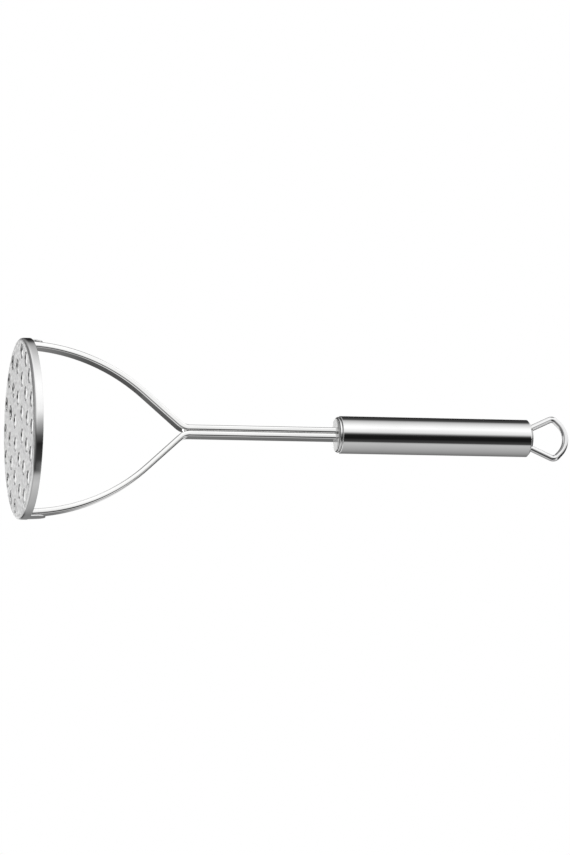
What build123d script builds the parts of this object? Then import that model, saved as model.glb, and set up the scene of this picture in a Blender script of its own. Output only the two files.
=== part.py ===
from build123d import *
import os
from math import atan2, cos, degrees, hypot, radians, sin, sqrt, tan

os.makedirs("parts", exist_ok=True)

# A hand masher of stainless steel, standing on its mashing face. Lengths are in millimetres.
# +Z runs up the tool's axis to the hanging loop, and the two arms lie in the XZ plane.

# Mashing disc: a shallow pressed cup of sheet, open towards the handle
disc_diameter = 90.0
disc_sheet = 0.8
rim_height = 4.8
rim_bend_radius = 1.2

# Ears: two round-ended tongues of the rim that the arms are welded to
ear_height = 8.0
ear_width = 9.0
foot_lean = 3.0

# Punched holes: round, drawn with few sides because there are many of them
hole_diameter = 7.5
hole_sides = 20

# Rings of holes, as shares of the disc's radius. The two holes of each ring on the arms' line
# move to the second share, and a ring with none there has no hole under the arms.
ring_radius_shares = (0.86, 0.57, 0.26)
arm_line_radius_shares = (None, 0.70, 0.345)
ring_counts = (18, 12, 6)

# Arms: two bent flat bars
bar_thickness = 3.0
bar_width = 9.0
bar_edge_bevel = 0.5
bar_tail_depth = 14.0
weld_gap = 0.1
foot_straight = 2.4
bow_radius = 92.0
arm_slope = 41.8
neck_bend_radius = 7.8

# Handle: a tube closed by a slotted cap in a collar at the front and a bevelled cap at the rear
head_length = 161.8
handle_length = 102.4
handle_diameter = 19.0
tube_wall = 1.0
tube_edge_bevel = 0.4
seat_fit = 0.05
spigot_length = 7.0

# Front cap and collar
cap_face_radius = 8.35
cap_face_thickness = 0.5
cap_edge_bevel = 0.25
collar_radius = 9.05
collar_thickness = 1.25
collar_edge_bevel = 0.45
neck_bore_share = 0.5

# Rear cap
bevel_length = 2.0
bevel_inset = 2.5
bevel_step = 0.1
face_edge_bevel = 0.2

# Hanging loop: one bent wire
wire_diameter = 3.2
loop_root_half = 4.85
loop_corner_half = 10.65
loop_corner_height = 12.7
loop_corner_radius = 3.0
loop_side_angle = 44.6
loop_tip_share = 0.83
loop_tail_depth = 5.5
drill_spare = 1.5

# Values worked out from the sizes above
disc_radius = disc_diameter / 2
bend_flat_share = 2 - sqrt(2)
handle_radius = handle_diameter / 2
ear_top = rim_height + ear_height
tube_bore_radius = handle_radius - tube_wall
spigot_radius = tube_bore_radius - seat_fit
collar_front = head_length + cap_face_thickness
tube_front = collar_front + collar_thickness
end_face = head_length + handle_length
tube_rear = end_face - bevel_length
bar_reach = hypot(bar_thickness, bar_width / 2) + seat_fit
neck_radius = bar_reach + neck_bore_share * (spigot_radius - bar_reach)


def corner(outline, radius, height):
    """The corner of a turned outline that lies nearest to a radius and a height."""
    return outline.vertices().sort_by_distance((radius, 0, height))[0]


def turned(points, eased=None, bevel=0.0):
    """A solid turned about the Z axis from (radius, height) points, with one corner eased."""
    outline = Plane.XZ * make_face(Polyline(*points, close=True))
    if eased:
        outline = chamfer(corner(outline, *eased), bevel)
    return revolve(outline, Axis.Z)


def eased_bar(length, thickness, bevel):
    """A rectangle with its four corners eased, for a bar's section or the slot it passes through."""
    return chamfer(Rectangle(length, thickness).vertices(), bevel)


def hole_places():
    """Where the holes are punched, as locations on the disc."""
    places = []
    for ring_share, arm_share, count in zip(ring_radius_shares, arm_line_radius_shares, ring_counts):
        for step in range(count):
            on_arm_line = step * 2 % count == 0
            share = arm_share if on_arm_line else ring_share
            if share is None:
                continue
            angle = radians(360 * step / count)
            radius = share * disc_radius
            places.append(Pos(radius * cos(angle), radius * sin(angle)))
    return places


def pressed_cup():
    """The disc with its turned-up rim, as one sheet that keeps its thickness round the bend."""
    inner_radius = disc_radius - disc_sheet
    profile = Plane.XZ * make_face(
        Polyline(
            (0, 0),
            (disc_radius, 0),
            (disc_radius, rim_height),
            (inner_radius, rim_height),
            (inner_radius, disc_sheet),
            (0, disc_sheet),
            close=True,
        )
    )
    outer_bend = bend_flat_share * (rim_bend_radius + disc_sheet)
    profile = chamfer(corner(profile, disc_radius, 0), outer_bend)
    inner_bend = bend_flat_share * rim_bend_radius
    profile = chamfer(corner(profile, inner_radius, disc_sheet), inner_bend)
    return revolve(profile, Axis.Z)


def ears():
    """The two tongues, cut from a ring that goes on from the rim and leans inwards."""
    inner_radius = disc_radius - disc_sheet
    ear_root = rim_height - disc_sheet
    lean_in = ear_height * tan(radians(foot_lean))
    ring = turned(
        [
            (inner_radius, ear_root),
            (disc_radius, ear_root),
            (disc_radius, rim_height),
            (disc_radius - lean_in, ear_top),
            (inner_radius - lean_in, ear_top),
            (inner_radius, rim_height),
        ]
    )
    tongue = Plane.YZ * Rot(0, 0, 90) * SlotOverall(2 * ear_top, ear_width)
    return ring & extrude(tongue, disc_radius, both=True)


def mashing_disc():
    hole = RegularPolygon(hole_diameter / 2, hole_sides)
    holes = Sketch() + [place * hole for place in hole_places()]
    return pressed_cup() + ears() - extrude(holes, disc_sheet)


def arm_path():
    """The centre line of the arm on the +X side, from its foot up to its tail in the handle."""
    seat_radius = disc_radius - disc_sheet
    flat_half = bar_width / 2 - bar_edge_bevel
    foot_x = sqrt(seat_radius**2 - flat_half**2) - weld_gap - bar_thickness / 2
    foot_z = disc_sheet + rim_bend_radius + weld_gap
    bow_start = rim_height + foot_straight
    neck_x = bar_thickness / 2
    lean = radians(foot_lean)
    slope = radians(arm_slope)
    tail_z = tube_front + bar_tail_depth

    foot = Line((foot_x, foot_z), (foot_x - (bow_start - foot_z) * tan(lean), bow_start))
    bow = JernArc(foot @ 1, foot % 1, bow_radius, arm_slope - foot_lean)
    bend_x = neck_x + neck_bend_radius * (1 - cos(slope))
    shank_length = ((bow @ 1).X - bend_x) / sin(slope)
    shank = Line(bow @ 1, bow @ 1 + (bow % 1) * shank_length)
    bend = JernArc(shank @ 1, shank % 1, neck_bend_radius, -arm_slope)
    tail = Line(bend @ 1, (neck_x, tail_z))
    return Plane.XZ * (foot + bow + shank + bend + tail)


def arm_right():
    path = arm_path()
    section_plane = Plane(origin=path @ 0, x_dir=(0, 1, 0), z_dir=path % 0)
    section = section_plane * eased_bar(bar_width, bar_thickness, bar_edge_bevel)
    return sweep(section, path=path)


def front_cap():
    """A turned cap with a slot for the two bars; its neck seats in the collar."""
    body = turned(
        [
            (0, head_length),
            (cap_face_radius, head_length),
            (cap_face_radius, collar_front),
            (neck_radius, collar_front),
            (neck_radius, tube_front + spigot_length),
            (0, tube_front + spigot_length),
        ],
        eased=(cap_face_radius, head_length),
        bevel=cap_edge_bevel,
    )
    slot = eased_bar(2 * bar_thickness + 2 * seat_fit, bar_width + 2 * seat_fit, bar_edge_bevel)
    slot_depth = tube_front + spigot_length - head_length
    return body - extrude(Pos(0, 0, head_length) * slot, slot_depth)


def front_collar():
    """A flanged bush between the cap and the tube; its spigot closes the tube's mouth."""
    bore_radius = neck_radius + seat_fit
    return turned(
        [
            (bore_radius, collar_front),
            (collar_radius, collar_front),
            (collar_radius, tube_front),
            (spigot_radius, tube_front),
            (spigot_radius, tube_front + spigot_length),
            (bore_radius, tube_front + spigot_length),
        ],
        eased=(collar_radius, collar_front),
        bevel=collar_edge_bevel,
    )


def handle_tube():
    return turned(
        [
            (tube_bore_radius, tube_front),
            (handle_radius, tube_front),
            (handle_radius, tube_rear),
            (tube_bore_radius, tube_rear),
        ],
        eased=(handle_radius, tube_front),
        bevel=tube_edge_bevel,
    )


def loop_leg_angle():
    """How far each leg of the loop spreads from the axis, in degrees."""
    return degrees(atan2(loop_corner_half - loop_root_half, loop_corner_height))


def loop_path():
    """The wire's centre line, from one tail inside the rear cap round to the other."""
    leg_angle = radians(loop_leg_angle())
    side_angle = radians(loop_side_angle)
    corner_turn = leg_angle + side_angle
    side_length = loop_corner_half / sin(side_angle)
    corner_run = loop_corner_radius * tan(corner_turn / 2)
    tip_radius = loop_tip_share * (side_length - corner_run) * tan(side_angle)
    tail_half = loop_root_half - loop_tail_depth * tan(leg_angle)
    tip_z = end_face + loop_corner_height + loop_corner_half / tan(side_angle)
    corner_z = end_face + loop_corner_height
    tail_z = end_face - loop_tail_depth
    return Plane.XZ * FilletPolyline(
        (tail_half, tail_z),
        (loop_corner_half, corner_z),
        (0, tip_z),
        (-loop_corner_half, corner_z),
        (-tail_half, tail_z),
        radius=[loop_corner_radius, tip_radius, loop_corner_radius],
    )


def hanging_loop():
    path = loop_path()
    section = Plane(origin=path @ 0, z_dir=path % 0) * Circle(wire_diameter / 2)
    return sweep(section, path=path)


def rear_cap():
    """A bevelled end plug with two drilled holes for the loop's tails."""
    bevel_radius = handle_radius - bevel_step
    face_radius = handle_radius - bevel_inset
    spigot_foot = tube_rear - spigot_length
    body = turned(
        [
            (0, end_face),
            (face_radius, end_face),
            (bevel_radius, tube_rear),
            (spigot_radius, tube_rear),
            (spigot_radius, spigot_foot),
            (0, spigot_foot),
        ],
        eased=(face_radius, end_face),
        bevel=face_edge_bevel,
    )
    leg_angle = loop_leg_angle()
    drill = Cylinder(wire_diameter / 2 + seat_fit, 2 * (loop_tail_depth + drill_spare))
    for side in (1, -1):
        body -= Pos(side * loop_root_half, 0, end_face) * Rot(0, side * leg_angle, 0) * drill
    return body


right_arm = arm_right()
nodes = {
    "mashing_disc": mashing_disc(),
    "arm_right": right_arm,
    "arm_left": mirror(right_arm, about=Plane.YZ),
    "front_cap": front_cap(),
    "front_collar": front_collar(),
    "handle_tube": handle_tube(),
    "rear_cap": rear_cap(),
    "hanging_loop": hanging_loop(),
}
for name, shape in nodes.items():
    export_step(shape, f"parts/{name}.step")
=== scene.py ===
from math import atan2, cos, degrees, hypot, pi, radians, sin, sqrt, tan

import bmesh
import bpy
from mathutils import Matrix, Vector


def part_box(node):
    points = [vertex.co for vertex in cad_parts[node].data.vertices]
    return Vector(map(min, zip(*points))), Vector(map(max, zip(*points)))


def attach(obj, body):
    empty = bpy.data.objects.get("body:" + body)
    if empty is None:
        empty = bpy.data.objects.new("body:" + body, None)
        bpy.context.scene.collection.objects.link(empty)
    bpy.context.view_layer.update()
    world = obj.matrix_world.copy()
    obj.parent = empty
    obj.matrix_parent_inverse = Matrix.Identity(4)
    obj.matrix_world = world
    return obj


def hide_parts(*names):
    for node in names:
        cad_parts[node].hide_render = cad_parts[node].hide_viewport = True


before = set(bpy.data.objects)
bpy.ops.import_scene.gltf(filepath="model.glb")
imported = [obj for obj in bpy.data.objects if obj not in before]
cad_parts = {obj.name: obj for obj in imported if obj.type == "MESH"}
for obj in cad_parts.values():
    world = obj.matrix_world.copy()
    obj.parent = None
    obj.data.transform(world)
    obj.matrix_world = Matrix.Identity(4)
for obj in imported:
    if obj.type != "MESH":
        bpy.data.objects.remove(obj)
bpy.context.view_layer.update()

# A hand masher of polished stainless steel. Lengths are in metres, angles in degrees.
mm = 0.001
body = "root"

# Sizes read from the frame
disc_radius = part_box("mashing_disc")[1].x
ear_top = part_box("mashing_disc")[1].z
cap_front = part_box("front_cap")[0].z
cap_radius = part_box("front_cap")[1].x
collar_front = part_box("front_collar")[0].z
collar_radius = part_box("front_collar")[1].x
tube_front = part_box("handle_tube")[0].z
tube_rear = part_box("handle_tube")[1].z
tube_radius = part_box("handle_tube")[1].x
spigot_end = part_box("front_collar")[1].z
arm_tail_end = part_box("arm_right")[1].z
plug_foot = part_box("rear_cap")[0].z
end_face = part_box("rear_cap")[1].z
loop_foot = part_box("hanging_loop")[0].z

# Mashing disc: the satin runs on round the bend up to the slant, the height of a face's normal
sheet = 0.8 * mm
rim_height = 4.8 * mm
inner_bend_radius = 1.2 * mm
outer_bend_segments = 12
inner_bend_segments = 8
bend_profile = 0.62
satin_slant = -0.6
rim_edge_radius = 0.2 * mm
rim_edge_segments = 4
disc_segments = 512

# Punched holes: the rings are shares of the disc's radius. The two holes of each ring on the
# arms' line move to the second share, and a ring with none there has no hole under the arms.
hole_radius = 3.75 * mm
hole_segments = 48
hole_edge_radius = 0.05 * mm
hole_edge_segments = 2
ring_radius_shares = (0.86, 0.57, 0.26)
arm_line_radius_shares = (None, 0.70, 0.345)
ring_counts = (18, 12, 6)

# Ears: cut into strips so that they follow the rim's curve, and a hair thinner than the rim
ear_width = 9.0 * mm
ear_tip_segments = 16
ear_edge_radius = 0.2 * mm
ear_edge_segments = 3
ear_strips = 16
ear_root_depth = 1.0 * mm
ear_clearance = 0.01 * mm

# Arms
bar_thickness = 3.0 * mm
bar_width = 9.0 * mm
bar_edge_radius = 1.4 * mm
bar_edge_segments = 10
bar_edge_profile = 0.68
weld_gap = 0.1 * mm
foot_lean = 3.0
foot_straight = 2.4 * mm
bow_radius = 92.0 * mm
arm_slope = 41.8
neck_bend_radius = 7.8 * mm

# Handle
turned_segments = 192
tube_wall = 1.0 * mm
tube_edge_radius = 0.45 * mm
seat_fit = 0.05 * mm

# Front cap and collar, with a seam before and behind the collar, its faces painted near black as shade
cap_edge_radius = 0.3 * mm
cap_edge_segments = 4
slot_corner_radius = 0.5 * mm
collar_edge_radius = 0.35 * mm
collar_back_radius = 0.2 * mm
neck_wall_share = 0.5
seam_gap = 0.16 * mm
seam_depth = 0.35 * mm

# Rear cap: a bevel that starts with a small rounded step
bevel_inset = 2.5 * mm
bevel_edge_radius = 0.35 * mm
bevel_step = 0.05 * mm
dome_inset = 0.35 * mm
dome_length = 0.45 * mm
dome_radius = 0.8 * mm

# Hanging loop
wire_radius = 1.6 * mm
wire_segments = 48
loop_root_half = 4.85 * mm
loop_corner_half = 10.65 * mm
loop_corner_height = 12.7 * mm
loop_corner_radius = 3.0 * mm
loop_side_angle = 44.6
loop_tip_share = 0.83

# Values worked out from the sizes above
rim_inner_radius = disc_radius - sheet
sheet_radius = rim_inner_radius - inner_bend_radius
spigot_radius = tube_radius - tube_wall - seat_fit
bar_reach = hypot(bar_thickness, bar_width / 2) + seat_fit
neck_radius = bar_reach + neck_wall_share * (spigot_radius - bar_reach)

# Meshes: vertices closer than the weld distance become one, and edges sharper than the crease
# stay sharp. A face is square to an axis if that much of its normal lies along it, and what lies
# beyond the rim share of a round plate's radius is on its rim. Bends turn by steps in degrees.
weld_distance = 0.0005 * mm
crease_angle = 32.0
square_share = 0.999
rim_share = 0.99
bend_step = 2.0
fewest_bend_steps = 8
corner_segments = 6

# Polish: how much of the roughness comes from belt marks and from handling, and how much of it
# the rubbed edges lose. Satin: how much of its mottle comes from its grain, the rest being haze.
marks_share = 0.5
haze_share = 0.5
wear_share = 0.3
grain_share = 0.8

# Camera, set so that the masher lies across the picture with its mashing face in sight. It
# looks at a height on the masher's axis from a distance, and is then lifted a little.
view_azimuth = 12.0
view_tilt = 13.55
view_roll = 1.15
view_distance = 1.911
view_height = 135.67 * mm
view_lift = 3.2 * mm
sensor_size = 36.0
lens_length = 160.0

# Studio: bands of light, each a list of (angle, level) round the masher. Angles start at the
# camera's side and grow towards the left arm. Each band has a height on the studio's wall, a
# sine of elevation. Upright walls mirror the rim and tube bands, with a softbox and a black
# flag; faces that look down mirror the card and the floor, and rounded edges the rest.
floor_bands = (
    (-180, 0.30), (-150, 0.80), (-62, 0.80), (-50, 0.22), (0, 0.20), (20, 0.45), (60, 0.40),
    (110, 0.20), (168, 0.12), (180, 0.30),
)
card_bands = (
    (-180, 1.65), (-167, 1.45), (-158, 0.09), (-138, 0.09), (-125, 0.38), (-62, 0.45),
    (-52, 0.08), (-8, 0.06), (4, 0.40), (16, 0.90), (50, 1.10), (110, 0.90), (150, 0.20),
    (170, 0.15), (175, 1.45), (180, 1.65),
)
rim_bands = (
    (-180, 0.22), (-165, 0.24), (-140, 0.24), (-110, 0.45), (-72, 0.64), (-61, 0.50),
    (-54, 0.06), (-18, 0.02), (-8, 0.12), (4, 0.46), (14, 0.80), (25, 1.08), (60, 1.15),
    (80, 1.00), (98, 0.82), (115, 0.66), (128, 0.52), (138, 0.35), (146, 0.10), (154, 0.02),
    (180, 0.02),
)
tube_bands = (
    (-180, 0.80), (-168, 0.72), (-161, 0.15), (-150, 0.16), (-140, 0.21), (-95, 0.40),
    (-52, 0.56), (-45, 0.50), (-39, 0.06), (-18, 0.01), (0, 0.01), (8, 0.06), (15, 0.42),
    (22, 0.86), (50, 1.20), (66, 1.06), (94, 0.64), (103, 0.40), (112, 0.07), (150, 0.02),
    (180, 0.02),
)
ceiling_bands = (
    (-180, 0.10), (-125, 0.12), (-90, 0.60), (-20, 0.80), (20, 0.90), (60, 1.10), (150, 1.05),
    (174, 0.90), (180, 0.10),
)
high_bands = (
    (-180, 0.10), (-115, 0.12), (-90, 0.62), (-42, 0.75), (-31, 0.08), (-4, 0.05), (12, 0.80),
    (60, 1.05), (160, 0.90), (180, 0.20),
)
zenith_bands = (
    (-180, 0.10), (-140, 0.08), (-8, 0.05), (12, 0.80), (60, 1.05), (160, 0.90), (180, 0.20),
)
studio_heights = (
    (-0.33, floor_bands),
    (-0.18, card_bands),
    (-0.02, card_bands),
    (0.165, rim_bands),
    (0.235, tube_bands),
    (0.43, tube_bands),
    (0.52, ceiling_bands),
    (0.60, ceiling_bands),
    (0.66, high_bands),
    (0.72, high_bands),
    (0.80, zenith_bands),
)

# The ramps hold shares of the brightest level, and the world's strength brings them back to it
brightest_level = 1.65

# Floor and lamp
floor_radius = 1.4
floor_segments = 96
floor_drop = 0.5 * mm
floor_fade = (0.07, 0.36)
floor_level = 0.9
lamp_size = 0.7
lamp_place = (0.25, -0.35, 1.3)
lamp_power = 9.0


# Shader building blocks, with the places of the colour sockets on a Mix node
mix_first_colour = 6
mix_second_colour = 7
mix_colour_result = 2


def new_node(tree, kind, **settings):
    """A node of that kind, with its properties set."""
    node = tree.nodes.new("ShaderNode" + kind)
    for name, value in settings.items():
        setattr(node, name, value)
    return node


def supply(tree, socket, value):
    """Joins a socket to another one, or sets it to a plain value."""
    if isinstance(value, bpy.types.NodeSocket):
        tree.links.new(value, socket)
    else:
        socket.default_value = value


def feed(tree, node, **inputs):
    """Supplies a node's inputs by their names."""
    for name, value in inputs.items():
        supply(tree, node.inputs[name.replace("_", " ")], value)
    return node


def calculate(tree, operation, *values, kind="Math", result="Value"):
    """The result of one Math or Vector Math node."""
    node = new_node(tree, kind, operation=operation)
    for socket, value in zip(node.inputs, values):
        supply(tree, socket, value)
    return node.outputs[result]


def own_place(tree):
    """The piece's own coordinates."""
    return new_node(tree, "TexCoord").outputs["Object"]


def scaled(tree, vector, scale):
    """A vector times another, axis by axis."""
    return calculate(tree, "MULTIPLY", vector, scale, kind="VectorMath", result="Vector")


def length_of(tree, vector):
    """A vector's length."""
    return calculate(tree, "LENGTH", vector, kind="VectorMath")


def mapped(tree, value, start, end, low=0.0, high=1.0, smooth=False):
    """A value carried from one range to another."""
    node = new_node(tree, "MapRange", interpolation_type="SMOOTHSTEP" if smooth else "LINEAR")
    feed(tree, node, Value=value, From_Min=start, From_Max=end, To_Min=low, To_Max=high)
    return node.outputs["Result"]


def grey(level, warmth=0.0):
    """A grey, with a little less blue if it is warm."""
    return (level, level, level - warmth, 1)


def blend(tree, mask, first, second):
    """A colour that goes from the first to the second with a mask."""
    mix = new_node(tree, "Mix", data_type="RGBA")
    feed(tree, mix, Factor=mask)
    supply(tree, mix.inputs[mix_first_colour], first)
    supply(tree, mix.inputs[mix_second_colour], second)
    return mix.outputs[mix_colour_result]


def relief(tree, height, depth):
    """A normal that follows a height, with its depth in metres."""
    bump = feed(tree, new_node(tree, "Bump"), Height=height, Distance=depth, Strength=1.0)
    return bump.outputs["Normal"]


def either_shader(tree, choice, first, second):
    """The first shader where the choice is 0 and the second where it is 1."""
    mix = new_node(tree, "MixShader")
    for socket, value in zip(mix.inputs, (choice, first.outputs[0], second.outputs[0])):
        supply(tree, socket, value)
    return mix


# Effects on the steel, as node groups

def new_group(name, inputs, outputs):
    """An empty node group with inputs given as (name, value), and named float outputs."""
    tree = bpy.data.node_groups.new(name, "ShaderNodeTree")
    for label, value in inputs:
        kind = "NodeSocketVector" if isinstance(value, tuple) else "NodeSocketFloat"
        socket = tree.interface.new_socket(name=label, in_out="INPUT", socket_type=kind)
        socket.default_value = value
    for label in outputs:
        tree.interface.new_socket(name=label, in_out="OUTPUT", socket_type="NodeSocketFloat")
    return tree, tree.nodes.new("NodeGroupInput").outputs, tree.nodes.new("NodeGroupOutput").inputs


def place_group(tree, group, **inputs):
    """The outputs of one use of a node group, with its own values."""
    node = tree.nodes.new("ShaderNodeGroup")
    node.node_tree = group
    return feed(tree, node, **inputs).outputs


def stretched_noise(tree, stretch, detail, roughness):
    """Noise over the piece's own coordinates, times a stretch in cells per metre."""
    noise = new_node(tree, "TexNoise")
    place = scaled(tree, own_place(tree), stretch)
    feed(tree, noise, Vector=place, Scale=1.0, Detail=detail, Roughness=roughness)
    return noise.outputs["Fac"]


def make_polish_marks():
    """Fine parallel marks left by the polishing belt."""
    inputs = [("Stretch", (900.0, 900.0, 30.0))]
    tree, given, wanted = new_group("polish_marks", inputs, ["Height", "Mask"])
    fine = stretched_noise(tree, given["Stretch"], detail=4.0, roughness=0.6)
    supply(tree, wanted["Height"], fine)
    supply(tree, wanted["Mask"], mapped(tree, fine, 0.5, 0.72))
    return tree


def make_handling_haze():
    """Soft patches where the polish is dulled by wiping and handling."""
    inputs = [("Stretch", (40.0, 40.0, 25.0))]
    tree, given, wanted = new_group("handling_haze", inputs, ["Mask"])
    cloud = stretched_noise(tree, given["Stretch"], detail=3.0, roughness=0.5)
    supply(tree, wanted["Mask"], mapped(tree, cloud, 0.42, 0.68, smooth=True))
    return tree


def make_blast_grain():
    """The even grain of a bead-blasted face, with its mottle, in cells per metre."""
    inputs = [("Cells", 2600.0), ("Mottle", 520.0)]
    tree, given, wanted = new_group("blast_grain", inputs, ["Height", "Mask"])
    place = own_place(tree)
    dimples = new_node(tree, "TexVoronoi", feature="SMOOTH_F1")
    feed(tree, dimples, Vector=place, Scale=given["Cells"], Smoothness=0.7)
    noise = new_node(tree, "TexNoise")
    feed(tree, noise, Vector=place, Scale=given["Mottle"], Detail=3.0)
    mottle = noise.outputs["Fac"]
    supply(tree, wanted["Height"], calculate(tree, "ADD", dimples.outputs["Distance"], mottle))
    supply(tree, wanted["Mask"], mapped(tree, mottle, 0.38, 0.62))
    return tree


def make_turned_lines():
    """The closely spaced rings that a lathe tool leaves on a face."""
    tree, given, wanted = new_group("turned_lines", [("Rings", 5200.0)], ["Height", "Mask"])
    radius = length_of(tree, scaled(tree, own_place(tree), (1, 1, 0)))
    noise = new_node(tree, "TexNoise", noise_dimensions="1D")
    feed(tree, noise, W=radius, Scale=given["Rings"], Detail=3.0)
    lines = noise.outputs["Fac"]
    supply(tree, wanted["Height"], lines)
    supply(tree, wanted["Mask"], mapped(tree, lines, 0.4, 0.65))
    return tree


def make_edge_wear():
    """A mask of the sharp outer edges, rubbed bright."""
    tree, given, wanted = new_group("edge_wear", [("Start", 0.52), ("End", 0.62)], ["Mask"])
    sharpness = new_node(tree, "NewGeometry").outputs["Pointiness"]
    worn = mapped(tree, sharpness, given["Start"], given["End"], smooth=True)
    supply(tree, wanted["Mask"], worn)
    return tree


polish_marks = make_polish_marks()
handling_haze = make_handling_haze()
blast_grain = make_blast_grain()
turned_lines = make_turned_lines()
edge_wear = make_edge_wear()


# Finishes

def new_finish(name, metallic=1.0):
    """A new material with a Principled shader, as (material, tree, shader)."""
    material = bpy.data.materials.new(name)
    material.use_nodes = True
    tree = material.node_tree
    shader = tree.nodes["Principled BSDF"]
    shader.inputs["Metallic"].default_value = metallic
    return material, tree, shader


def polished_steel(name, stretch, depth, bright, dull, roughness):
    """Polished steel with belt marks one way and patches dulled by handling."""
    material, tree, shader = new_finish(name)
    marks = place_group(tree, polish_marks, Stretch=stretch)
    haze = place_group(tree, handling_haze)
    wear = place_group(tree, edge_wear)
    rough, roughest = roughness
    spread = roughest - rough
    for effect, share in ((marks, marks_share), (haze, haze_share), (wear, -wear_share)):
        rough = calculate(tree, "MULTIPLY_ADD", effect["Mask"], share * spread, rough)
    tone = blend(tree, haze["Mask"], bright, dull)
    normal = relief(tree, marks["Height"], depth)
    feed(tree, shader, Base_Color=tone, Roughness=rough, Normal=normal)
    return material


def satin_face():
    """The disc's blasted sheet, mottled mostly by its grain and a little by handling."""
    material, tree, shader = new_finish("satin_face")
    grain = place_group(tree, blast_grain)
    haze = place_group(tree, handling_haze)
    grain_part = calculate(tree, "MULTIPLY", grain["Mask"], grain_share)
    mottle = calculate(tree, "MULTIPLY_ADD", haze["Mask"], 1 - grain_share, grain_part)
    tone = blend(tree, mottle, grey(0.99), grey(0.77))
    rough = mapped(tree, grain["Mask"], 0, 1, low=0.34, high=0.44)
    normal = relief(tree, grain["Height"], depth=0.012 * mm)
    feed(tree, shader, Base_Color=tone, Roughness=rough, Normal=normal)
    return material


def punched_wall():
    """The sheared walls of the punched holes, with scores left by the punch."""
    material, tree, shader = new_finish("punched_wall")
    scores = place_group(tree, polish_marks, Stretch=(2600.0, 2600.0, 90.0))
    tone = blend(tree, scores["Mask"], grey(0.68), grey(0.48))
    rough = mapped(tree, scores["Mask"], 0, 1, low=0.05, high=0.13)
    normal = relief(tree, scores["Height"], depth=0.002 * mm)
    feed(tree, shader, Base_Color=tone, Roughness=rough, Normal=normal)
    return material


def turned_face():
    """The front cap's turned steel."""
    material, tree, shader = new_finish("turned_steel")
    rings = place_group(tree, turned_lines)
    tone = blend(tree, rings["Mask"], grey(0.69, warmth=0.005), grey(0.62, warmth=0.005))
    rough = mapped(tree, rings["Mask"], 0, 1, low=0.16, high=0.28)
    normal = relief(tree, rings["Height"], depth=0.004 * mm)
    feed(tree, shader, Base_Color=tone, Roughness=rough, Normal=normal)
    return material


def seam_shade_paint():
    """Painted shade: a near-black, non-metallic finish in the joints round the collar, where the gaps
    fall dark.
    """
    material, tree, shader = new_finish("painted_seam_shade", metallic=0.0)
    haze = place_group(tree, handling_haze, Stretch=(900.0, 900.0, 900.0))
    tone = blend(tree, haze["Mask"], grey(0.02), grey(0.05, warmth=0.002))
    feed(tree, shader, Base_Color=tone, Roughness=0.7)
    return material


rim_polish = polished_steel(
    "polished_rim", stretch=(60.0, 60.0, 3000.0), depth=0.001 * mm,
    bright=grey(0.87), dull=grey(0.82), roughness=(0.05, 0.11),
)
bar_polish = polished_steel(
    "polished_bar", stretch=(2400.0, 2400.0, 120.0), depth=0.001 * mm,
    bright=grey(0.95, warmth=0.005), dull=grey(0.90, warmth=0.005), roughness=(0.05, 0.12),
)
tube_polish = polished_steel(
    "polished_tube", stretch=(60.0, 60.0, 2200.0), depth=0.0005 * mm,
    bright=grey(0.88), dull=grey(0.84), roughness=(0.035, 0.08),
)
wire_polish = polished_steel(
    "polished_wire", stretch=(1500.0, 1500.0, 200.0), depth=0.001 * mm,
    bright=grey(0.87), dull=grey(0.82), roughness=(0.07, 0.16),
)
satin = satin_face()
sheared = punched_wall()
turned_steel = turned_face()
# Painted shade: near black for the faces in the seams round the collar
painted_seam_shade = seam_shade_paint()


# Mesh building blocks

def finish_piece(bm, name, node, materials):
    """Makes an object of a bmesh, which stands for one CAD node and rides on the masher."""
    bmesh.ops.remove_doubles(bm, verts=bm.verts[:], dist=weld_distance)
    bmesh.ops.recalc_face_normals(bm, faces=bm.faces[:])
    mesh = bpy.data.meshes.new(name)
    bm.to_mesh(mesh)
    bm.free()
    mesh.shade_smooth()
    mesh.set_sharp_from_angle(angle=radians(crease_angle))
    for material in materials:
        mesh.materials.append(material)
    piece = bpy.data.objects.new(name, mesh)
    bpy.context.scene.collection.objects.link(piece)
    flat_shading = piece.modifiers.new("flat_shading", "WEIGHTED_NORMAL")
    flat_shading.keep_sharp = True
    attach(piece, body)
    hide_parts(node)
    return piece


def join(bm, other):
    """Adds another bmesh's geometry to a bmesh."""
    mesh = bpy.data.meshes.new("part")
    other.to_mesh(mesh)
    other.free()
    bm.from_mesh(mesh)
    bpy.data.meshes.remove(mesh)


def wire_outline(bm, points, closed=True):
    """Vertices and edges through a few points."""
    corners = [bm.verts.new(point) for point in points]
    ends = corners[1:] + corners[:1] if closed else corners[1:]
    for start, end in zip(corners, ends):
        bm.edges.new((start, end))
    return corners


def rectangle(half_x, half_y, height=0.0):
    """The four corners of a rectangle at a height."""
    quarters = ((1, 1), (-1, 1), (-1, -1), (1, -1))
    return [(x * half_x, y * half_y, height) for x, y in quarters]


def round_corners(bm, corners, radius, segments=corner_segments, profile=0.5):
    """Rounds corners of an outline in its own plane; a profile over 0.5 turns more sharply midway."""
    bmesh.ops.bevel(
        bm, geom=corners, offset=radius, offset_type="OFFSET", segments=segments,
        profile=profile, affect="VERTICES", material=-1, clamp_overlap=True,
    )


def round_edges(bm, edges, radius, segments):
    """Rounds edges of a solid."""
    bmesh.ops.bevel(
        bm, geom=edges, offset=radius, offset_type="OFFSET", segments=segments,
        profile=0.5, affect="EDGES", material=-1,
    )


def thicken(bm, run):
    """Gives flat faces a thickness along a run."""
    raised = bmesh.ops.extrude_face_region(bm, geom=bm.faces[:])["geom"]
    far_side = [part for part in raised if isinstance(part, bmesh.types.BMVert)]
    bmesh.ops.translate(bm, vec=run, verts=far_side)
    bm.normal_update()


def is_square(normal, axis):
    """True for a face that is square to an axis."""
    return abs(normal[axis]) > square_share


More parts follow.
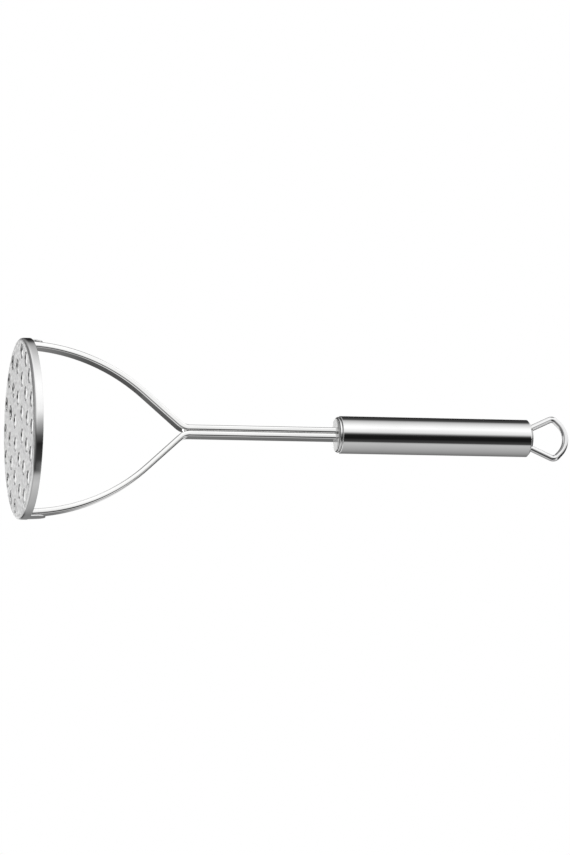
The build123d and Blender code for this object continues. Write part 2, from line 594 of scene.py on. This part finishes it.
def lips(bm, axis):
    """The edges between a plate's faces, which are square to an axis, and the plate's walls."""
    found = []
    for edge in bm.edges:
        on_face = [is_square(face.normal, axis) for face in edge.link_faces]
        if sorted(on_face) == [False, True]:
            found.append(edge)
    return found


def turned(outline, rounded=(), closed=True, segments=turned_segments):
    """A bmesh turned about the Z axis from (radius, height) points.

    Each rounded corner is given as its index, its radius and what else rounds it.
    """
    bm = bmesh.new()
    corners = wire_outline(bm, [(radius, 0, height) for radius, height in outline], closed)
    for index, *rounding in rounded:
        round_corners(bm, [corners[index]], *rounding)
    bmesh.ops.spin(
        bm, geom=bm.verts[:] + bm.edges[:], cent=(0, 0, 0), axis=(0, 0, 1),
        angle=2 * pi, steps=segments, use_merge=True,
    )
    return bm


def heading_vector(angle):
    """The direction in the XZ plane that leans from +Z towards -X by an angle in degrees."""
    return Vector((-sin(radians(angle)), 0, cos(radians(angle))))


def bent(bm, section, start, heading, stages):
    """Carries a section from a start along stages of (straight length, bend radius, turn)."""
    turned_in = Matrix.Rotation(-radians(heading), 4, "Y")
    bmesh.ops.transform(bm, matrix=Matrix.Translation(start) @ turned_in, verts=section.verts[:])
    place = Vector(start)
    for length, radius, turn in stages:
        run = heading_vector(heading) * length
        moved = bmesh.ops.extrude_face_region(bm, geom=[section])["geom"]
        section = next(part for part in moved if isinstance(part, bmesh.types.BMFace))
        bmesh.ops.translate(bm, vec=run, verts=section.verts[:])
        place += run
        if not turn:
            continue
        side = 1 if turn > 0 else -1
        centre = place + heading_vector(heading + 90) * side * radius
        steps = max(fewest_bend_steps, round(abs(turn) / bend_step))
        swung = bmesh.ops.spin(
            bm, geom=[section], cent=centre, axis=(0, -1, 0), angle=radians(turn), steps=steps
        )["geom_last"]
        section = next(part for part in swung if isinstance(part, bmesh.types.BMFace))
        heading += turn
        place = centre - heading_vector(heading + 90) * side * radius


# Mashing disc

def hole_places():
    """Where the holes are punched: three rings, with the holes on the arms' line moved."""
    places = []
    for ring_share, arm_share, count in zip(ring_radius_shares, arm_line_radius_shares, ring_counts):
        for step in range(count):
            share = arm_share if step * 2 % count == 0 else ring_share
            if share is not None:
                angle = 2 * pi * step / count
                places.append(Vector((cos(angle), sin(angle), 0)) * share * disc_radius)
    return places


def perforated_sheet():
    """The disc's flat sheet with its holes, open at its outer edge, as a bmesh."""
    bm = bmesh.new()
    for place in hole_places():
        hole = bmesh.ops.create_circle(bm, segments=hole_segments, radius=hole_radius)["verts"]
        bmesh.ops.translate(bm, vec=place, verts=hole)
    bmesh.ops.create_circle(bm, segments=disc_segments, radius=sheet_radius)
    bmesh.ops.triangle_fill(bm, edges=bm.edges[:], use_beauty=True, normal=(0, 0, 1))
    thicken(bm, (0, 0, sheet))
    walls = [face for face in bm.faces if not is_square(face.normal, 2)]
    near_rim = rim_share * sheet_radius
    outer_wall = [face for face in walls if face.calc_center_median().xy.length > near_rim]
    bmesh.ops.delete(bm, geom=outer_wall, context="FACES_ONLY")
    round_edges(bm, lips(bm, axis=2), hole_edge_radius, hole_edge_segments)
    return bm


def rolled_rim():
    """The bend and the turned-up rim, from the sheet's lower edge round to its upper edge."""
    outline = [
        (sheet_radius, 0),
        (disc_radius, 0),
        (disc_radius, rim_height),
        (rim_inner_radius, rim_height),
        (rim_inner_radius, sheet),
        (sheet_radius, sheet),
    ]
    rounded = [
        (1, inner_bend_radius + sheet, outer_bend_segments, bend_profile),
        (2, rim_edge_radius, rim_edge_segments),
        (3, rim_edge_radius, rim_edge_segments),
        (4, inner_bend_radius, inner_bend_segments, bend_profile),
    ]
    return turned(outline, rounded, closed=False, segments=disc_segments)


def ear(side):
    """One tongue that stands up from the rim behind an arm's foot, as a bmesh."""
    bm = bmesh.new()
    half_width = ear_width / 2
    root = rim_height - ear_root_depth
    outline = [(half_width, root), (half_width, ear_top), (-half_width, ear_top), (-half_width, root)]
    corners = wire_outline(bm, [(0, across, height) for across, height in outline])
    round_corners(bm, corners[1:3], half_width, ear_tip_segments)
    bmesh.ops.edgeloop_fill(bm, edges=bm.edges[:])
    thicken(bm, (sheet - 2 * ear_clearance, 0, 0))
    round_edges(bm, lips(bm, axis=0), ear_edge_radius, ear_edge_segments)
    for step in range(1, ear_strips):
        cut = half_width * (1 - 2 * step / ear_strips)
        everything = bm.verts[:] + bm.edges[:] + bm.faces[:]
        bmesh.ops.bisect_plane(bm, geom=everything, plane_co=(0, cut, 0), plane_no=(0, 1, 0))
    for vert in bm.verts:
        lean_in = max(0, vert.co.z - rim_height) * tan(radians(foot_lean))
        radius = rim_inner_radius + ear_clearance + vert.co.x - lean_in
        angle = vert.co.y / disc_radius
        vert.co.xy = side * radius * cos(angle), side * radius * sin(angle)
    return bm


def make_disc():
    """The pressed disc: satin in front and inside, polished on its rim, sheared in its holes."""
    bm = perforated_sheet()
    for part in (rolled_rim(), ear(1), ear(-1)):
        join(bm, part)
    finishes = (satin, rim_polish, sheared)
    piece = finish_piece(bm, "pressed_disc", "mashing_disc", finishes)
    for polygon in piece.data.polygons:
        if polygon.center.xy.length < sheet_radius:
            finish = satin if is_square(polygon.normal, 2) else sheared
        else:
            finish = satin if polygon.normal.z < satin_slant else rim_polish
        polygon.material_index = finishes.index(finish)


# Arms

def bar_section(bm):
    """The bar's rounded cross-section, at the origin."""
    wire_outline(bm, rectangle(bar_thickness / 2, bar_width / 2))
    round_corners(bm, bm.verts[:], bar_edge_radius, bar_edge_segments, bar_edge_profile)
    return bmesh.ops.edgeloop_fill(bm, edges=bm.edges[:])["faces"][0]


def arm_route(side, foot_z):
    """An arm's start inside its ear, and its stages up to its tail."""
    flat_half = bar_width / 2 - bar_edge_radius
    foot_x = sqrt(rim_inner_radius**2 - flat_half**2) - weld_gap - bar_thickness / 2
    lean = radians(foot_lean)
    slope = radians(arm_slope)
    bow_start_z = rim_height + foot_straight
    bow_start_x = foot_x - (bow_start_z - foot_z) * tan(lean)
    bow_end_x = bow_start_x - bow_radius * (cos(lean) - cos(slope))
    bow_end_z = bow_start_z + bow_radius * (sin(slope) - sin(lean))
    bend_x = bar_thickness / 2 + neck_bend_radius * (1 - cos(slope))
    shank_length = (bow_end_x - bend_x) / sin(slope)
    bend_end_z = bow_end_z + shank_length * cos(slope) + neck_bend_radius * sin(slope)
    stages = [
        ((bow_start_z - foot_z) / cos(lean), bow_radius, side * (arm_slope - foot_lean)),
        (shank_length, neck_bend_radius, -side * arm_slope),
        (arm_tail_end - bend_end_z, 0, 0),
    ]
    return (side * foot_x, 0, foot_z), stages


def make_arm(side, name, node):
    """One bent bar, from its foot against the ear to its tail inside the handle."""
    bm = bmesh.new()
    start, stages = arm_route(side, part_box(node)[0].z)
    bent(bm, bar_section(bm), start, side * foot_lean, stages)
    finish_piece(bm, name, node, (bar_polish,))


# Handle

def slotted_round(radius, low, high):
    """A round plate with a slot for the two bars, as a bmesh."""
    bm = bmesh.new()
    slot = wire_outline(bm, rectangle(bar_thickness + seat_fit, bar_width / 2 + seat_fit, low))
    round_corners(bm, slot, slot_corner_radius)
    rim = bmesh.ops.create_circle(bm, segments=turned_segments, radius=radius)["verts"]
    bmesh.ops.translate(bm, vec=(0, 0, low), verts=rim)
    bmesh.ops.triangle_fill(bm, edges=bm.edges[:], use_beauty=True, normal=(0, 0, -1))
    thicken(bm, (0, 0, high - low))
    return bm


def make_front_cap():
    """The cap's flange with its front edge rounded, and its neck behind it."""
    flange_back = collar_front - seam_gap
    flange_middle = (cap_front + flange_back) / 2
    near_rim = rim_share * cap_radius
    bm = slotted_round(cap_radius, cap_front, flange_back)
    front_edge = [
        edge for edge in lips(bm, axis=2)
        if all(vert.co.z < flange_middle and vert.co.xy.length > near_rim for vert in edge.verts)
    ]
    round_edges(bm, front_edge, cap_edge_radius, cap_edge_segments)
    join(bm, slotted_round(neck_radius, flange_back - seat_fit, spigot_end))
    finish_piece(bm, "slotted_cap", "front_cap", (turned_steel,))


def make_front_collar():
    """The collar, its step for the rear seam and its spigot, with painted shade in both seams."""
    bore = neck_radius + seat_fit
    seam_foot = collar_radius - seam_depth
    collar_back = tube_front - seam_gap
    outline = [
        (bore, collar_front),
        (collar_radius, collar_front),
        (collar_radius, collar_back),
        (seam_foot, collar_back),
        (seam_foot, tube_front),
        (spigot_radius, tube_front),
        (spigot_radius, spigot_end),
        (bore, spigot_end),
    ]
    bm = turned(outline, rounded=[(1, collar_edge_radius), (2, collar_back_radius)])
    # The seams' faces take the painted shade: the collar's front face and the floor of the rear seam
    finishes = (tube_polish, painted_seam_shade)
    piece = finish_piece(bm, "collar_ring", "front_collar", finishes)
    for polygon in piece.data.polygons:
        height = polygon.center.z
        radius = polygon.center.xy.length
        front_face = is_square(polygon.normal, 2) and height < collar_front + seam_gap
        inside_edge = radius < collar_radius - collar_back_radius
        rear_seam = inside_edge and collar_back - seat_fit < height < tube_front
        finish = painted_seam_shade if front_face or rear_seam else tube_polish
        polygon.material_index = finishes.index(finish)


def make_tube():
    """The polished tube, with its front edge rounded."""
    bore = tube_radius - tube_wall
    outline = [(bore, tube_front), (tube_radius, tube_front), (tube_radius, tube_rear), (bore, tube_rear)]
    bm = turned(outline, rounded=[(1, tube_edge_radius)])
    finish_piece(bm, "polished_tube", "handle_tube", (tube_polish,))


def make_rear_cap():
    """The bevelled end, with its spigot inside the tube."""
    outline = [
        (0, end_face),
        (tube_radius - bevel_inset, end_face),
        (tube_radius - dome_inset, tube_rear + dome_length),
        (tube_radius - bevel_step, tube_rear),
        (spigot_radius, tube_rear),
        (spigot_radius, plug_foot),
        (0, plug_foot),
    ]
    bm = turned(outline, rounded=[(1, bevel_edge_radius), (2, dome_radius)], closed=False)
    finish_piece(bm, "bevelled_plug", "rear_cap", (tube_polish,))


# Hanging loop

def loop_route(leg_angle):
    """The wire's start inside the rear cap, and its stages round to the other tail."""
    side_angle = radians(loop_side_angle)
    corner_run = loop_corner_radius * tan((leg_angle + side_angle) / 2)
    side_length = loop_corner_half / sin(side_angle)
    tip_radius = loop_tip_share * (side_length - corner_run) * tan(side_angle)
    side_straight = side_length - corner_run - tip_radius / tan(side_angle)
    tail_depth = end_face - loop_foot - wire_radius * sin(leg_angle)
    leg_length = (tail_depth + loop_corner_height) / cos(leg_angle) - corner_run
    corner_turn = degrees(leg_angle) + loop_side_angle
    start = (loop_root_half - tail_depth * tan(leg_angle), 0, end_face - tail_depth)
    stages = [
        (leg_length, loop_corner_radius, corner_turn),
        (side_straight, tip_radius, 180 - 2 * loop_side_angle),
        (side_straight, loop_corner_radius, corner_turn),
        (leg_length, 0, 0),
    ]
    return start, stages


def make_loop():
    """The bent wire, up one leg, round the tip and down the other."""
    leg_angle = atan2(loop_corner_half - loop_root_half, loop_corner_height)
    start, stages = loop_route(leg_angle)
    bm = bmesh.new()
    bmesh.ops.create_circle(bm, segments=wire_segments, radius=wire_radius, cap_ends=True)
    bm.faces.ensure_lookup_table()
    bent(bm, bm.faces[0], start, -degrees(leg_angle), stages)
    finish_piece(bm, "wire_loop", "hanging_loop", (wire_polish,))


make_disc()
make_arm(1, "bar_right", "arm_right")
make_arm(-1, "bar_left", "arm_left")
make_front_cap()
make_front_collar()
make_tube()
make_rear_cap()
make_loop()


# Camera, studio and floor

def make_camera():
    """The photograph's view, from below the mashing face, with the tool lying across the picture."""
    azimuth = radians(view_azimuth)
    tilt = radians(view_tilt)
    towards = Vector((sin(azimuth), -cos(azimuth), 0))
    up_axis = Vector((0, 0, 1))
    back = cos(tilt) * towards - sin(tilt) * up_axis
    level_right = sin(tilt) * towards + cos(tilt) * up_axis
    roll = Matrix.Rotation(radians(view_roll), 3, back)
    right = roll @ level_right
    up = back.cross(right)
    camera = bpy.data.objects.new("camera", bpy.data.cameras.new("camera"))
    camera.data.sensor_width = sensor_size
    camera.data.lens = lens_length
    place = Vector((0, 0, view_height)) + view_distance * back + view_lift * up
    turn = Matrix((right, up, back)).transposed().to_4x4()
    camera.matrix_world = Matrix.Translation(place) @ turn
    bpy.context.scene.collection.objects.link(camera)
    bpy.context.scene.camera = camera


def band_ramp(tree, turn_share, bands):
    """A band of light as a ramp round the compass, as shares of the brightest level."""
    ramp = new_node(tree, "ValToRGB")
    feed(tree, ramp, Fac=turn_share)
    stops = ramp.color_ramp.elements
    for angle, _ in bands[1:-1]:
        stops.new((angle + 180) / 360)
    for stop, (_, level) in zip(stops, bands):
        stop.color = grey(level / brightest_level)
    return ramp.outputs["Color"]


def studio_light(tree):
    """The studio's light in each direction, blended from band to band by height."""
    direction = new_node(tree, "TexCoord").outputs["Generated"]
    parts = feed(tree, new_node(tree, "SeparateXYZ"), Vector=direction).outputs
    compass = calculate(tree, "ARCTAN2", parts["Y"], parts["X"])
    camera_side = radians(view_azimuth - 90)
    turn = calculate(tree, "WRAP", calculate(tree, "SUBTRACT", camera_side, compass), pi, -pi)
    turn_share = mapped(tree, turn, -pi, pi)
    below, lowest = studio_heights[0]
    light = band_ramp(tree, turn_share, lowest)
    for height, bands in studio_heights[1:]:
        rise = mapped(tree, parts["Z"], below, height)
        light = blend(tree, rise, light, band_ramp(tree, turn_share, bands))
        below = height
    return light


def make_world():
    """White to the camera, and to the metal a studio of a softbox, a grey card and a black flag."""
    world = bpy.data.worlds.new("studio")
    world.use_nodes = True
    bpy.context.scene.world = world
    tree = world.node_tree
    tree.nodes.clear()
    light = studio_light(tree)
    studio = feed(tree, new_node(tree, "Background"), Color=light, Strength=brightest_level)
    white = feed(tree, new_node(tree, "Background"), Color=grey(1), Strength=1.0)
    seen = new_node(tree, "LightPath").outputs["Is Camera Ray"]
    choice = either_shader(tree, seen, studio, white)
    feed(tree, new_node(tree, "OutputWorld"), Surface=choice.outputs[0])


def floor_paper():
    """Pale paper that fades to the white background and isn't seen from below."""
    material = bpy.data.materials.new("studio_floor")
    material.use_nodes = True
    tree = material.node_tree
    tree.nodes.clear()
    fade = mapped(tree, length_of(tree, own_place(tree)), *floor_fade, smooth=True)
    paper = feed(tree, new_node(tree, "BsdfDiffuse"), Color=grey(floor_level))
    white = feed(tree, new_node(tree, "Emission"), Color=grey(1), Strength=1.0)
    faded = either_shader(tree, fade, paper, white)
    underside = new_node(tree, "NewGeometry").outputs["Backfacing"]
    sided = either_shader(tree, underside, faded, new_node(tree, "BsdfTransparent"))
    feed(tree, new_node(tree, "OutputMaterial"), Surface=sided.outputs[0])
    return material


def make_floor():
    """A round floor that the metal neither mirrors nor takes light from."""
    bm = bmesh.new()
    bmesh.ops.create_circle(bm, segments=floor_segments, radius=floor_radius, cap_ends=True)
    bmesh.ops.translate(bm, vec=(0, 0, -floor_drop), verts=bm.verts[:])
    mesh = bpy.data.meshes.new("floor")
    bm.to_mesh(mesh)
    bm.free()
    mesh.materials.append(floor_paper())
    floor = bpy.data.objects.new("floor", mesh)
    bpy.context.scene.collection.objects.link(floor)
    floor.visible_diffuse = False
    floor.visible_glossy = False
    floor.visible_transmission = False
    floor.visible_shadow = False


def make_lamp():
    """A soft overhead lamp that gives the floor its shadow and stays out of the reflections."""
    light = bpy.data.lights.new("overhead", "AREA")
    light.shape = "DISK"
    light.size = lamp_size
    light.energy = lamp_power
    lamp = bpy.data.objects.new("overhead", light)
    lamp.location = lamp_place
    lamp.rotation_mode = "QUATERNION"
    lamp.rotation_quaternion = lamp.location.to_track_quat("Z", "Y")
    lamp.visible_glossy = False
    lamp.visible_camera = False
    bpy.context.scene.collection.objects.link(lamp)


make_camera()
make_world()
make_floor()
make_lamp()
bpy.context.scene.view_settings.view_transform = "Standard"
